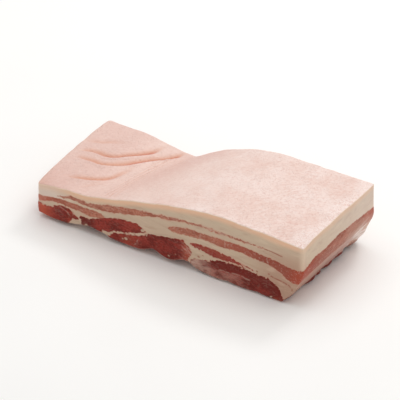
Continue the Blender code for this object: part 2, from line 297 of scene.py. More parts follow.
for key, (label, words, value) in COLOURS.items():
    BellyColours.__annotations__[key] = FloatVectorProperty(
        name=label, description=words, default=hex_to_linear(value), subtype="COLOR", min=0, max=1)


def mix(pair, share):
    """The value at this share of the way from pair's first to its second."""
    return pair[0] + (pair[1] - pair[0]) * share


def clamp(value, most=1):
    return np.clip(value, 0, most)


def smooth(share):
    share = clamp(share)
    return share * share * (3 - 2 * share)


def past(value, start, reach):
    """0 up to start, rising smoothly to 1 at reach past it."""
    return smooth((value - start) / reach)


def before(value, end, reach):
    """1 up to reach before end, falling smoothly to 0 at end."""
    return smooth((end - value) / reach)


def bump(distance, half_width):
    return np.exp(-((distance / half_width) ** 2))


def curve_through(positions, values, at):
    """A smooth curve through these values, level past both ends."""
    positions, values = np.asarray(positions, float), np.asarray(values, float)
    slopes = np.gradient(values, positions)
    i = np.clip(np.searchsorted(positions, at) - 1, 0, len(positions) - 2)
    step = positions[i + 1] - positions[i]
    t = clamp((at - positions[i]) / step)
    return (
        (1 + 2 * t) * (1 - t) ** 2 * values[i]
        + t * (1 - t) ** 2 * step * slopes[i]
        + t * t * (3 - 2 * t) * values[i + 1]
        + t * t * (t - 1) * step * slopes[i + 1]
    )


def lumps(places, size, seed):
    """Smooth random heights, about -1 to 1, in lumps of this size in millimetres."""
    shifted = np.asarray(places, float) / size + (17.3 * seed, 5.1 * seed, 9.7 * seed)
    return np.array([noise.noise(Vector(place)) for place in shifted]) * 1.6


def crease_field(along, across):
    """How deep the creases are, and how much painted shade they get, tan on the back wall and red at the bottom,
    at these places of the rind.
    """
    depth, tan, red = (np.zeros_like(along) for _ in range(3))
    for points, redness, red_from in CREASES:
        at, line_across, deep = (np.array(column, float) for column in zip(*points))
        line = curve_through(at, line_across, along)
        slope = curve_through(at, line_across, along + 0.5) - curve_through(at, line_across, along - 0.5)
        off = (across - line) / np.sqrt(1 + slope * slope)
        off = np.where((along < at[0]) | (along > at[-1]), 99, off)
        bottom = np.clip(curve_through(at, deep, along), 0, None)
        wall = np.where(off > 0, np.exp(-np.abs(off) / CREASE_BACK * 1.3), bump(off, CREASE_FRONT))
        ridge = CREASE_RIDGE * bump(off + 2.6, 2.0)
        depth = depth + bottom * (wall * (np.abs(off) < 30) - ridge)
        tan = np.maximum(tan, smooth(bottom / 1.6) * bump(off - 1.5, np.where(off > 1.5, 3.6, 1.3)))
        reddens = redness * (0.3 + 0.7 * smooth((along - red_from) / 12))
        red = np.maximum(red, past(bottom, 0.5, 1.0) * bump(off - 0.5, 1.5) * reddens)
    return depth, tan, red


def pleat_field(along, across):
    """Fine pleats over the step, about -1 to 1."""
    gather = 1 - PLEAT_GATHER * clamp(across / WIDTH) ** 1.5
    spread_along = (along - PLEAT_FOOT) / gather
    phase = 2 * math.pi * spread_along / PLEAT_SPACING + 1.1 * np.sin(across / 13 + spread_along / 9)
    strength = 0.55 + 0.45 * np.sin(spread_along / 4.1 + across / 31)
    window = smooth((spread_along + 44) / 12) * before(spread_along, 2, 18)
    return np.sin(phase) * strength * window * smooth(across / 8) * smooth((WIDTH - across) / 25)


def top_height(along, across):
    """The rind: low at the thin end, a curved step, and then nearly level."""
    along, across = clamp(along, LENGTH), clamp(across, WIDTH)
    back = across / WIDTH
    start = mix(STEP_START, back)
    dip = mix(CREASE_DIP, back) * smooth((along - CREASE_DIP_FROM) / (start - CREASE_DIP_FROM))
    low = mix(LOW_HEIGHT, back) - dip - THIN_END_DROOP * (1 - smooth(along / 34)) * (1 - back)
    low += mix(RIND_SWELL, back)
    low -= CORNER_DROOP[0] * (1 - smooth(np.hypot(along, across) / CORNER_DROOP[1]))
    sag_at, sag_depth, sag_width = BACK_SAG
    droop = smooth((along - DROOP_FROM) / (LENGTH - DROOP_FROM)) * (1 - 0.8 * smooth(across / 20))
    high = THICK_HEIGHT + mix(RIND_SWELL, back) - THICK_END_DROOP * droop
    high -= sag_depth * back * bump(along - sag_at, sag_width)
    climbed, soft = (along - start) / mix(STEP_LENGTH, back), mix(STEP_SOFT, back)
    climbed = clamp((climbed + np.sqrt(climbed * climbed + soft * soft)) / 2 - soft * soft)
    return low + (high - low) * (1 - (1 - climbed) ** mix(STEP_CURVE, back))


def under_height(along, across):
    """The rib side, with furrows, and lifted round its edges. What is below 0 is pressed flat."""
    along, across = clamp(along, LENGTH), clamp(across, WIDTH)
    edge = np.maximum(bump(across, EDGE_REACH), bump(WIDTH - across, EDGE_REACH))
    ribs = sum(depth * bump(along - at - RIB_SKEW * across / WIDTH, half) for at, depth, half in FURROWS)
    lift = mix((EDGE_LIFT, THICK_EDGE_LIFT), past(along, 165, 35)) * edge
    lift += ribs * (0.55 + 0.45 * edge) + 1.5 * bump(along, 7)
    lift += THICK_END_LIFT * bump(across - THICK_END_LIFT_AT, 32) * past(along, 225, 50)
    return lift - PRESSED_FLAT


def cut_in(along, across, height):
    """How far the slanted thick end, and the tucked foot of the thin end, move a point along the joint."""
    slant_depth = mix(SLANT_DEPTH, clamp(across / SLANT_DEEPEST))
    slant = slant_depth * clamp(1 - height / SLANT_HEIGHT) ** 1.5
    tuck_depth, tuck_height = THIN_END_TUCK
    tuck = tuck_depth * clamp(1 - height / tuck_height) ** 2
    tuck = tuck + THIN_END_LEAN * clamp(1 - height / THIN_LEAN_HEIGHT)
    lumpy = sum(bump(across - at, half) * bump(height - tall * 0.45, tall * 0.6) for at, half, tall in FOOT_LUMPS)
    for share, at, half, up, half_up in FOOT_CORNERS:
        lumpy = lumpy + share * bump(across - at, half) * bump(height - up, half_up)
    slant = slant - FOOT_BULGE * lumpy
    return tuck * bump(clamp(along, LENGTH), 14) - slant * smooth((along - LENGTH + SLANT_REACH) / SLANT_REACH)


def thin_bow(along, across):
    """How far the thin end bulges outwards in plan."""
    bulge = np.sin(math.pi * clamp(across / WIDTH) ** 1.4)
    return THIN_END_BOW * (0.25 + 0.75 * bulge) * before(along, 30, 30)


def roll_edge(first, second, radius):
    """Two depths below the faces that meet in an edge, moved onto the edge's round."""
    from_first, from_second = radius - first, radius - second
    near = (from_first > 0) & (from_second > 0)
    reach = np.maximum(np.hypot(from_first, from_second), 1e-6)
    pull = np.where(near & (reach > radius), radius / reach, 1)
    return np.where(near, radius - from_first * pull, first), np.where(near, radius - from_second * pull, second)


def round_corners(x, y):
    """Pulls what lies outside a rounded corner of the slab onto its arc."""
    for (end, back), radius in CORNER_RADII.items():
        from_end, from_cut = roll_edge(LENGTH - x if end else x, WIDTH - y if back else y, radius)
        x, y = LENGTH - from_end if end else from_end, WIDTH - from_cut if back else from_cut
    return x, y


def rind_height(along, across):
    """The rind with its creases and pleats, and its droop at the very end of the joint."""
    drop, reach = THICK_LIP
    creases = crease_field(along, across)[0] * bpy.context.scene.belly_sizes.crease_scale
    smoother = top_height(along, across) - creases + PLEAT_DEPTH * pleat_field(along, across)
    return smoother - drop * smooth((along - LENGTH + reach) / reach) ** 2


def stations(length, step, edge_step, fine_step=None, fine_to=0):
    """Places from 0 to length, closer together at both ends and up to fine_to."""
    places = [0.0]
    while places[-1] < length:
        here = places[-1]
        usual = fine_step if fine_step and here < fine_to else step
        to_end = min(here, length - here)
        places.append(here + min(usual, edge_step + 0.35 * max(to_end, 0)))
    return np.array(places) * length / places[-1]


def linked(name, data, location=(0, 0, 0), facing=None):
    """A new object with this data, in the scene at this place and turned this way."""
    obj = bpy.data.objects.new(name, data)
    bpy.context.scene.collection.objects.link(obj)
    obj.location = location
    if facing is not None:
        obj.rotation_mode, obj.rotation_quaternion = "QUATERNION", facing
    return obj


def divided_cube(name, along, across, up):
    """A cube from 0 to 1 on each axis, with this many divisions along each, as an object."""
    bm = bmesh.new()
    bmesh.ops.create_cube(bm, size=1)
    bmesh.ops.translate(bm, verts=bm.verts, vec=(0.5, 0.5, 0.5))
    for axis, divisions in enumerate((along, across, up)):
        edges = [e for e in bm.edges if abs(e.verts[0].co[axis] - e.verts[1].co[axis]) > 1e-6]
        bmesh.ops.subdivide_edges(bm, edges=edges, cuts=divisions - 1, use_grid_fill=True)
    mesh = bpy.data.meshes.new(name)
    bm.to_mesh(mesh)
    bm.free()
    return linked(name, mesh)


def read(items, what, width=1, kind=float):
    """One property of each of these items, such as every vertex's place, as an array."""
    values = np.empty(len(items) * width, kind)
    items.foreach_get(what, values)
    return values.reshape(-1, width) if width > 1 else values


def points_of(mesh):
    return read(mesh.vertices, "co", 3)


def place(mesh, x, y, z):
    """Moves the vertices to these slab coordinates."""
    points = np.stack([x + CORNER.x, y + CORNER.y, z], axis=1) * MM
    mesh.vertices.foreach_set("co", points.ravel())
    mesh.update()


def spread(shares, places):
    """Shares of a divided cube's side, laid out over these places."""
    return np.interp(shares, np.linspace(0, 1, len(places)), places)


def helper(name):
    """A hidden object that shapes others, made when it is first needed."""
    found = bpy.data.objects.get("helper_" + name)
    if found is None:
        found = make_block("helper_" + name) if name == "block" else make_sheet("helper_" + name, SHEETS[name])
        found.hide_render = True
    return found


def make_block(name):
    """The whole joint's outer form, with the rind's creases and rolled edges."""
    along_places = stations(LENGTH, COARSE_STEP, EDGE_STEP, FINE_STEP, FINE_TO)
    across_places = stations(WIDTH, ACROSS_STEP, EDGE_STEP)
    up_places = stations(THICK_HEIGHT, UP_STEP, EDGE_STEP) / THICK_HEIGHT
    block = divided_cube(name, len(along_places) - 1, len(across_places) - 1, len(up_places) - 1)
    shares = points_of(block.data).T
    along, across = spread(shares[0], along_places), spread(shares[1], across_places)
    share_up = spread(shares[2], up_places)
    top, under = rind_height(along, across), under_height(along, across)
    height = under + (top - under) * share_up
    below, above = top - height, height - under
    for side, depth in (("front", across), ("back", WIDTH - across), ("thin", along), ("thick", LENGTH - along)):
        below, depth_rolled = roll_edge(below, depth, RIND_ROLL[side])
        above, depth_rolled = roll_edge(above, depth_rolled, RIB_ROLL)
        moved = depth_rolled - depth
        if side in ("front", "back"):
            across = across + (moved if side == "front" else -moved)
        else:
            along = along + (moved if side == "thin" else -moved)
    height = np.where(share_up > 0.5, top - below, under + above)
    x, y = round_corners(along + cut_in(along, across, height), across)
    place(block.data, x - thin_bow(along, across), y, height)
    return block


def make_sheet(name, sheet):
    """A lean sheet, drawn past the cuts that trim it, with lumpy upper and lower sides."""
    rows = ((*row, BELOW)[:3] for row in sheet.outline)
    starts, tops, bottoms = (np.array(column, float) for column in zip(*rows))
    span = starts[-1] - starts[0]
    lumpy = name.endswith(LUMPY_SHEET)
    places = LUMPY_PLACES if lumpy else SHEET_PLACES
    obj = divided_cube(name, math.ceil(span / SHEET_STEP), len(places) - 1, 1)
    shares = points_of(obj.data).T
    across = spread(shares[1], np.array(places) * WIDTH / 120)
    drawn = starts[0] + span * shares[0]
    shifted = clamp(across / sheet.shift_within)
    along = drawn + mix((sheet.start_shift, sheet.end_shift), shares[0]) * shifted
    sway = 1 + (curve_through(*zip(*SHEET_SWAY), across) - 1) * past(drawn, 110, 120)
    scale = top_height(along, across) * sway / top_height(drawn, np.zeros_like(drawn))
    upper, lower = curve_through(starts, tops, drawn), curve_through(starts, bottoms, drawn)
    flat = np.stack([drawn, across * 0.22, np.zeros_like(drawn)], axis=1)
    seed = sum(map(ord, name)) % 50
    for size, share in ((sheet.lump, 0.7), (sheet.lump * 2.6, 1.0)):
        upper = upper + sheet.fray * share * lumps(flat, size, seed)
        lower = lower + sheet.fray * share * lumps(flat, size, seed + 1)
    middle, half = (upper + lower) / 2, np.maximum((upper - lower) / 2, 0.22)
    for open_end, distance in ((starts[0] > 0, drawn - starts[0]), (starts[-1] < LENGTH, starts[-1] - drawn)):
        if open_end:
            tip = clamp(distance / TIP_LENGTH)
            half = np.where(half < 8, half * np.sqrt(np.maximum(1 - (1 - tip) ** 2, 0.004)), half)
    height = scale * np.where(shares[2] > 0.5, middle + half, middle - half)
    height = np.minimum(height, top_height(along, across) - RIND_COVER)
    if lumpy:
        foot = np.max([tall * bump(across - at, half) ** 0.5 for at, half, tall in FOOT_LUMPS], axis=0) + 0.3
        at_foot = past(along, 254, 10) * smooth(across / 14)
        height = np.where(shares[2] > 0.5, mix((height, foot), at_foot), height)
    place(obj.data, along + cut_in(along, across, height), across, height)
    return obj


def carved(name, start, steps):
    """A new object: start's mesh after these Boolean steps, as (operation, helper object)."""
    obj = linked(name, start.data.copy())
    for operation, other in steps:
        step = obj.modifiers.new(operation.lower(), "BOOLEAN")
        step.solver, step.operation, step.object = "MANIFOLD", operation, other
    shape = bpy.data.meshes.new_from_object(obj.evaluated_get(bpy.context.evaluated_depsgraph_get()))
    if len(shape.polygons) < 100:
        raise RuntimeError(f"nothing is left of {name} after its cuts")
    shape.name = name
    obj.modifiers.clear()
    obj.data = shape
    return obj


def slab_place(points):
    """Slab coordinates (along, across, height) of these points in metres."""
    x, y, height = (points / MM - (CORNER.x, CORNER.y, 0)).T
    along = x
    for _ in range(4):
        along = x - cut_in(along, y, height)
    return along, y, height


def store(mesh, **fields):
    """Keeps these values, one for each point, as fields that the materials read."""
    for name, values in fields.items():
        layer = mesh.attributes.new(name, "FLOAT", "POINT")
        layer.data.foreach_set("value", np.asarray(values, np.float32))


def surface_distance(points, objects):
    """Distance in millimetres from each point to the nearest of these objects' surfaces, up to 12."""
    best = np.full(len(points), 12.0)
    for obj in objects:
        tree = BVHTree.FromPolygons([v.co for v in obj.data.vertices], [p.vertices for p in obj.data.polygons])
        low, high = points_of(obj.data).min(0) - 12 * MM, points_of(obj.data).max(0) + 12 * MM
        for i in np.flatnonzero(((points > low) & (points < high)).all(1)):
            hit = tree.find_nearest(points[i], best[i] * MM)
            if hit[0] is not None:
                best[i] = min(best[i], hit[3] / MM)
    return best


def settle(obj, lift=None):
    """Gives the joint its uneven surface, the same for every piece so that they still meet, and shades it."""
    sizes = bpy.context.scene.belly_sizes
    mesh = obj.data
    points = points_of(mesh)
    if lift is not None:
        points = points + read(mesh.vertices, "normal", 3) * lift[:, None] * MM
    places = points / MM
    moves = [lumps(places, 24, 3 + axis) + 0.5 * lumps(places, 9, 13 + axis) for axis in range(3)]
    cut = lumps(places * (1, 1, 0.25), 5, 30)
    moves = np.stack(moves, axis=1) * sizes.unevenness + (cut * sizes.knife_marks)[:, None] * (0.3, 1, 0)
    moves[:, 2] *= past(places[:, 2], 0.6, 5)
    points = points + moves
    points[:, 2] = np.maximum(points[:, 2], 0)
    mesh.vertices.foreach_set("co", points.ravel())
    mesh.update()
    mesh.shade_smooth()
    mesh.set_sharp_from_angle(angle=math.radians(38))


def add(tree, kind, inputs=None, **settings):
    """Adds a shader node with its own settings. inputs holds, by socket, a value or the output to link."""
    node = tree.nodes.new("ShaderNode" + kind)
    for name, value in settings.items():
        setattr(node, name, value)
    for key, value in (inputs or {}).items():
        if isinstance(value, bpy.types.NodeSocket):
            tree.links.new(value, node.inputs[key])
        else:
            node.inputs[key].default_value = value
    return node


def new_material(name):
    material = bpy.data.materials.new(name)
    material.use_nodes = True
    tree = material.node_tree
    tree.nodes.clear()
    return material, tree


def laid(tree, size_mm, stretch=(1, 1, 1), turn=0, **numbers):
    """A texture's inputs, for features of this size, stretched along the joint's axes turned by turn."""
    where = add(tree, "TexCoord").outputs["Object"]
    if turn:
        where = add(tree, "VectorRotate", {"Vector": where, "Angle": math.radians(turn)}).outputs[0]
    scale = tuple(1 / (size_mm * MM * share) for share in stretch)
    return {"Vector": add(tree, "Mapping", {"Vector": where, "Scale": scale}).outputs[0], "Scale": 1.0, **numbers}


def masked(tree, *masks):
    """The product of these masks. Each is a number, a stored field's name or a node's output, or one of
    these with the two values between which it rises smoothly from 0 to 1."""
    whole = None
    for mask in masks:
        mask, *ends = mask if isinstance(mask, tuple) else (mask,)
        if isinstance(mask, str):
            mask = add(tree, "Attribute", attribute_name=mask, attribute_type="GEOMETRY").outputs["Fac"]
        if ends:
            values = {0: mask, 1: ends[0], 2: ends[1]}
            mask = add(tree, "MapRange", values, interpolation_type="SMOOTHSTEP").outputs[0]
        whole = mask if whole is None else add(tree, "Math", {0: whole, 1: mask}, operation="MULTIPLY").outputs[0]
    return whole


def layered(tree, colours, base, layers):
    """The base colour, with each layer's colour laid over it where the product of the layer's masks is."""
    base = (*getattr(colours, base), 1)
    for name, *masks in layers:
        over = (*getattr(colours, name), 1)
        base = add(tree, "Mix", {0: masked(tree, *masks), 6: base, 7: over}, data_type="RGBA").outputs[2]
    return base


def finish_material(tree, colour, height=None, height_mm=0.1, roughness=0.45, **fixed):
    """Joins colour, relief and gloss in one Principled surface. fixed are the shader's own numbers."""
    inputs = {"Base Color": colour, "Roughness": roughness, "Metallic": 0.0}
    if height is not None:
        relief = add(tree, "Bump", {"Strength": 1.0, "Distance": height_mm * MM, "Height": height})
        inputs["Normal"] = relief.outputs[0]
    inputs.update({key.replace("_", " "): value for key, value in fixed.items()})
    surface = add(tree, "BsdfPrincipled", inputs)
    add(tree, "OutputMaterial", {"Surface": surface.outputs[0]})


def scalded_pork_rind(colours, sizes):
    """Rind: pig skin, scalded, scraped of its bristles and left damp. The eye sees a pale pink, slightly
    mottled skin with a soft sheen, rows of small pores, and tan where it folds, which is painted shade."""
    material, tree = new_material("scalded_pork_rind")
    # Bristle pores are 1.5 to 2 mm apart in rows, which is just coarse enough to show.
    pores = add(tree, "TexVoronoi", laid(tree, sizes.pore_spacing / MM, (1.35, 0.8, 1)), feature="F1")
    pits = masked(tree, (pores.outputs["Distance"], 0.42, 0.12))
    # Blotches of scalding are 15 to 30 mm wide. The skin's grain is 1 to 2 mm, longer the way the bristles lay.
    blotches = add(tree, "TexNoise", laid(tree, 26, Detail=4)).outputs["Fac"]
    grain = add(tree, "TexNoise", laid(tree, 1.5, (2.4, 1, 1), -38, Detail=3)).outputs["Fac"]
    # Speckle of about 1.3 mm that breaks up the painted sheen.
    shine = add(tree, "TexNoise", laid(tree, 1.3, Detail=1)).outputs["Fac"]
    colour = layered(tree, colours, "rind", (
        # Paler blotches towards the thick end. Along the front cut they are a painted highlight.
        ("rind_bright", (blotches, 0.3, 0.7), "pale"),
        ("rind_blush", (blotches, 0.5, 0.3), 0.15),
        # Partly painted shade on the step, partly darker, pinker rind at the thin end.
        ("rind_blush", "blush_and_shade"),
        ("rind_blush", (grain, 0.5, 0.72), "grainy"),
        ("rind_bright", (grain, 0.46, 0.3), "grainy"),
        ("rind_blush", pits, 0.3),
        # Painted shade in the pleats' grooves and in the creases, darkest and reddest along the creases' bottoms.
        ("crease_shade", "pleat_shade", 0.3),
        ("crease_shade", "crease_shade"),
        ("crease_bottom_shade", "crease_bottom_shade"),
        # Painted sheen: a paler, speckled band near the thick end, standing in for the highlight on the rind's
        # rolled edge.
        ("rind_bright", "sheen", (shine, 0.4, 0.6)),
        ("rind_edge", ("rind_depth", 0.1, 0.6), 0.85),
    ))
    relief = add(tree, "Math", {0: grain, 1: masked(tree, pits, -0.9)}, operation="ADD").outputs[0]
    gloss = add(tree, "MapRange", {0: grain, 1: 0.3, 2: 0.7, 3: 0.36, 4: 0.52}).outputs[0]
    finish_material(tree, colour, relief, 0.25, gloss, IOR=1.4, Specular_IOR_Level=0.45)
    return material


def frayed(tree, distance, reach):
    """A distance from the edge between lean and fat, made ragged by fibres up to reach mm long. Fat and lean
    use one pattern, of tufts 2 to 3 mm wide: where it is high, lean runs out into fat, and else fat into lean."""
    fray = add(tree, "TexNoise", laid(tree, 2.4, (1.3, 1, 1), Detail=3)).outputs["Fac"]
    ragged = add(tree, "MapRange", {0: fray, 1: 0.3, 2: 0.7, 3: reach, 4: -reach}).outputs[0]
    return add(tree, "Math", {0: distance, 1: ragged}, operation="ADD").outputs[0]


def knife_cut_fat(colours, sizes):
    """Back fat, cold and knife cut: a firm, faintly waxy, cream-beige fat with fine courses along the
    joint, pinker where it touches lean, under the cut rind's cream rim and tan band."""
    material, tree = new_material("knife_cut_fat")
    # Fat lobules are 3 to 6 mm and lie in courses along the joint. Its mottling is coarser, 10 to 20 mm.
    lobules = add(tree, "TexNoise", laid(tree, 4.2, (4, 3, 0.8), Detail=4, Distortion=0.4)).outputs["Fac"]
    mottle = add(tree, "TexNoise", laid(tree, 14, (1.6, 1.6, 0.8), Detail=3)).outputs["Fac"]
    dots = add(tree, "TexNoise", laid(tree, 2.4, (1.3, 1, 1), Detail=2)).outputs["Fac"]
    band_edge = add(tree, "MapRange", {0: mottle, 1: 0.3, 2: 0.7, 3: -0.5, 4: 0.5}).outputs[0]
    depth = add(tree, "Math", {0: masked(tree, "rind_depth"), 1: band_edge}, operation="ADD").outputs[0]
    thick = sizes.rind_thickness / MM
    near = masked(tree, "lean_near")
    lean = (frayed(tree, near, FRAY), 0.2, -0.2)
    hair = add(tree, "Math", {0: masked(tree, "line_off")}, operation="ABSOLUTE").outputs[0]
    colour = layered(tree, colours, "fat", (
        # Darker deeper in the fat. On the thick end's undercut foot this is painted shade.
        ("fat_deep", ("deep", 0.0, 1.0)),
        ("fat_deep", (lobules, 0.5, 0.75), 0.5),
        ("rind_edge", (lobules, 0.46, 0.25), 0.25),
        ("fat_pink", (near, 2.2, 0.2), (mottle, 0.35, 0.7), 0.55),
        ("membrane", "rib_side"),
        # Painted shade on the thick end's undercut foot, in a lean-brown tint.
        ("pale_lean_deep", "foot_shade"),
        ("rind_bright", "whiter"),
        ("rind_bright", "skinned", (lobules, 0.62, 0.42), 0.75),
        ("fat_pink", "skinned", (mottle, 0.5, 0.62)),
        ("pale_lean", lean),
        ("red_lean", lean, "by_red"),
        ("pale_lean_deep", (hair, 1.0, 0.35), "line_show", (dots, 0.32, 0.5), 0.9),
        ("pale_lean_deep", ("spot", -0.3, 0.5), 0.8),
        ("rind_band", (depth, thick * 3.1, thick * 0.6), "band"),
        # Painted highlight down the thick end's rounded front corner.
        ("rind_edge", "bevel", 0.5),
        ("rind_edge", ("rind_depth", 1.4, 0.4), 0.85),
    ))
    relief = add(tree, "Math", {0: lobules, 1: masked(tree, dots, 0.3)}, operation="ADD").outputs[0]
    finish_material(tree, colour, relief, 0.25, 0.42, IOR=1.45, Specular_IOR_Level=0.45)
    return material


def cut_lean(name, colours, light, dark, membrane_share):
    """Raw pork muscle cut across by a knife: moist fibre bundles that shine a little, with paler seams of
    fat between them and a darker or brighter rim. light and dark are the bundles' two colours."""
    material, tree = new_material(name)
    # Fibre bundles are 1 to 2 mm across, and lie in courses along the joint, in patches of about 10 mm.
    # Finer marbling runs between them every 10 to 20 mm. (size, stretch, detail, distortion)
    fibres, patches, veins, specks = (
        add(tree, "TexNoise", laid(tree, size, stretch, Detail=detail, Distortion=distortion)).outputs["Fac"]
        for size, stretch, detail, distortion in (
            (1.5, (1.6, 4, 0.9), 3, 0.4), (9, (1.5, 3, 0.7), 3, 0.3), (13, (1.2, 3, 0.6), 3, 1.2),
            (1.5, (1.4, 2, 1), 2, 0)))
    # How far the nearest seam of fat is, and the nearest line of the marbling.
    wobble = add(tree, "MapRange", {0: patches, 1: 0.3, 2: 0.7, 3: -1.2, 4: 1.2}).outputs[0]
    seam, vein = (
        add(tree, "Math", {0: add(tree, "Math", {0: where, 1: moved}, operation="ADD").outputs[0]},
            operation="ABSOLUTE").outputs[0]
        for where, moved in ((masked(tree, "line_off"), wobble), (veins, -0.5)))
    rim = masked(tree, "rim")
    colour = layered(tree, colours, light, (
        (dark, (patches, 0.38, 0.62)),
        (dark, (fibres, 0.48, 0.66), 0.9),
        (light, (fibres, 0.48, 0.34), 0.8),
        ("streak_red", "redder", (fibres, 0.75, 0.35)),
        ("orange_lean", "dried"),
        ("red_lean_dark", "dark"),
        (dark, (rim, 0.8, 0.1), 0.4),
        ("membrane", (vein, 0.04, 0.0), (patches, 0.35, 0.6), 0.12),
        ("membrane", (seam, 1.1, 0.1), "line_show", (fibres, 0.28, 0.5), 0.36),
        ("fat", ("spot", -0.5, 0.4), 0.8),
        ("membrane", (specks, 0.57, 0.7), membrane_share),
        ("membrane", "rib_side", (patches, 0.8, 0.3), 0.7),
        ("membrane", "skinned", (patches, 0.7, 0.35), 0.8),
        ("fat_pink", (frayed(tree, rim, -FRAY), 0.2, -0.2), 0.85),
    ))
    relief = add(tree, "Math", {0: fibres, 1: masked(tree, patches, 0.6)}, operation="ADD").outputs[0]
    gloss = add(tree, "MapRange", {0: fibres, 1: 0.3, 2: 0.7, 3: 0.36, 4: 0.52}).outputs[0]
    finish_material(tree, colour, relief, 0.3, gloss, IOR=1.38, Specular_IOR_Level=0.28)
    return material


def common_fields(mesh, points, lines, spots):
    """Stores what both fat and lean need: the rib side, and the nearest line and spot on the front cut."""
    along, across, height = slab_place(points)
    above_rib = height - np.maximum(under_height(along, across), 0)
    nearest, show = np.full(len(along), 5.0), np.zeros(len(along))
    for line in lines:
        for (a1, h1), (a2, h2) in zip(line, line[1:]):
            run, rise = a2 - a1, h2 - h1
            reach = math.hypot(run, rise)
            off = ((height - h1) * run - (along - a1) * rise) / reach
            gone = ((along - a1) * run + (height - h1) * rise) / reach
            here = smooth((gone + 1) / 1.5) * smooth((reach + 1 - gone) / 1.5)
            take = (here > 0) & (np.abs(off) < np.abs(nearest))
            nearest, show = np.where(take, off, nearest), np.where(take, here, show)
    spot = np.full(len(along), -3.0)
    for a1, h1, radius in spots:
        spot = np.maximum(spot, radius - np.hypot(along - a1, (height - h1) * 1.25))
    store(mesh, rib_side=before(above_rib, 1.6, 1.2), line_off=nearest,
          line_show=show * before(across, 6, 3), spot=np.where(across < 4, spot, -3.0))
    return along, across, height


def dress_lean(name, material, marks):
    """Cuts one lean piece from the block, gives it its cut faces' swell, its fields and its material."""
    body = helper(name)
    # A sheet gives way to those that run close to it and come before it by name.
    others = [helper(other) for other in SHEETS if other < name]
    others = [("DIFFERENCE", other) for other in others if near_boxes(body, other)]
    obj = carved("cut_" + name, helper("block"), [("INTERSECT", body), *others])
    points = points_of(obj.data)
    rim = surface_distance(points, [body])
    along, across, height = common_fields(obj.data, points, LEAN_LINES, LEAN_SPOTS)
    found = marks(along, across, height)[name]
    store(obj.data, rim=rim, **{mark: clamp(found.get(mark, 0) + 0 * along) for mark in MARKS})
    settle(obj, SHEETS[name].proud * smooth(rim / 1.6) * past(height, 0.5, 2))
    obj.data.materials.clear()
    obj.data.materials.append(material)
    hand_over(obj, name)


def near_boxes(first, second):
    a, b = points_of(first.data), points_of(second.data)
    return bool((a.min(0) < b.max(0)).all() and (b.min(0) < a.max(0)).all())


def hand_over(obj, node):
    """The piece rides on the joint's one body and stands for its solid, which is hidden."""
    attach(obj, "root")
    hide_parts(node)


def streak_marks(a, c, h):
    """Where the streaks are marked, by places along, across and up."""
    broken = 0.5 + 0.5 * np.sin(a / 2.9 + 2 * np.sin(a / 7.3))
    thick_end = past(a, 240, 30)
    return {
        "lean_upper_streak": {"skinned": 0.16 * before(a, 85, 15) + 0.9 * past(a, 128, 35) * broken},
        "lean_left_streak": {
            "dried": 0.6 * bump(a, 14), "skinned": 0.3 * bump(a, 10), "redder": 0.3 * before(a, 70, 30)},
        "lean_main_streak": {
            "redder": past(a, 180, 35) * before(c, 40, 30) + 0.3 * smooth(c / 20),
            "dried": 0.85 * past(a, 266, 14) * before(c, 26, 20) + 0.6 * past(c, 92, 16) * thick_end,
            "dark": 0.3 * past(a, 222, 22) * before(c, 30, 20) + 0.1 * smooth(c / 20),
            "skinned": past(c, 55, 35) * thick_end * (1 - 0.35 * past(c, 104, 10))
            * (0.28 + 0.14 * past(c, 88, 12) + 0.6 * before(h, 39, 4))},
        "lean_short_streak": {"dark": 0.25 * bump(a - 190, 25)},
    }


def rib_marks(a, c, h):
    """Where the rib side's lean is marked, by places along, across and up."""
    parting = curve_through(*zip(*PARTING), a)
    return {
        "rib_lean_left": {"dried": 0.85 * bump(a - 5, 9) + 0.25 * bump(a - 37, 3)},
        "rib_lean_middle": {"dried": 0.12 * bump(a - 106, 9), "dark": 0.95 * before(a, 66, 12)},
        "rib_lean_lower": {
            "dried": 0.55 * past(a, 153, 8) + 0.3 * bump(a - 100, 8),
            "skinned": past(a, 152, 10) * smooth(0.45 + 0.75 * np.sin(1.5 * h + 2 * np.sin(0.8 * a))),
            "dark": 0.3 * bump(a - 140, 14)},
        "rib_lean_right": {
            "dried": 0.6 * past(a, 270, 6) * before(h, 8, 5) * before(c, 12, 6),
            "dark": np.maximum(0.8 * past(h, parting, 1.2) * past(a, 172, 8), 0.35 * past(a, 222, 24)),
            "skinned": 0.42 * before(h, parting, 1.2) * before(a, 238, 36)
            + 0.9 * before(a, 188, 12) + 0.85 * past(c, 90, 8)},
    }


class BELLY_OT_lean_streaks(bpy.types.Operator):
    """Builds the four streaks of lean inside the fat"""

    bl_idname = "belly.lean_streaks"
    bl_label = "Lean streaks"

    def execute(self, context):
        colours = context.scene.belly_colours
        pale = cut_lean("pale_streaky_lean", colours, "pale_lean", "pale_lean_deep", 0.4)
        red = cut_lean("red_streak_lean", colours, "streak_red", "red_lean", 0.2)
        for name in STREAKS:
            dress_lean(name, red if name in REDS else pale, streak_marks)
        return {"FINISHED"}


class BELLY_OT_rib_leans(bpy.types.Operator):
    """Builds the dark lean that lies along the rib side"""

    bl_idname = "belly.rib_leans"
    bl_label = "Rib side lean"

    def execute(self, context):
        colours = context.scene.belly_colours
        lean = cut_lean("rib_side_lean", colours, "red_lean", "red_lean_dark", 0.08)
        for name in RIB_LEANS:
            dress_lean(name, lean, rib_marks)
        return {"FINISHED"}


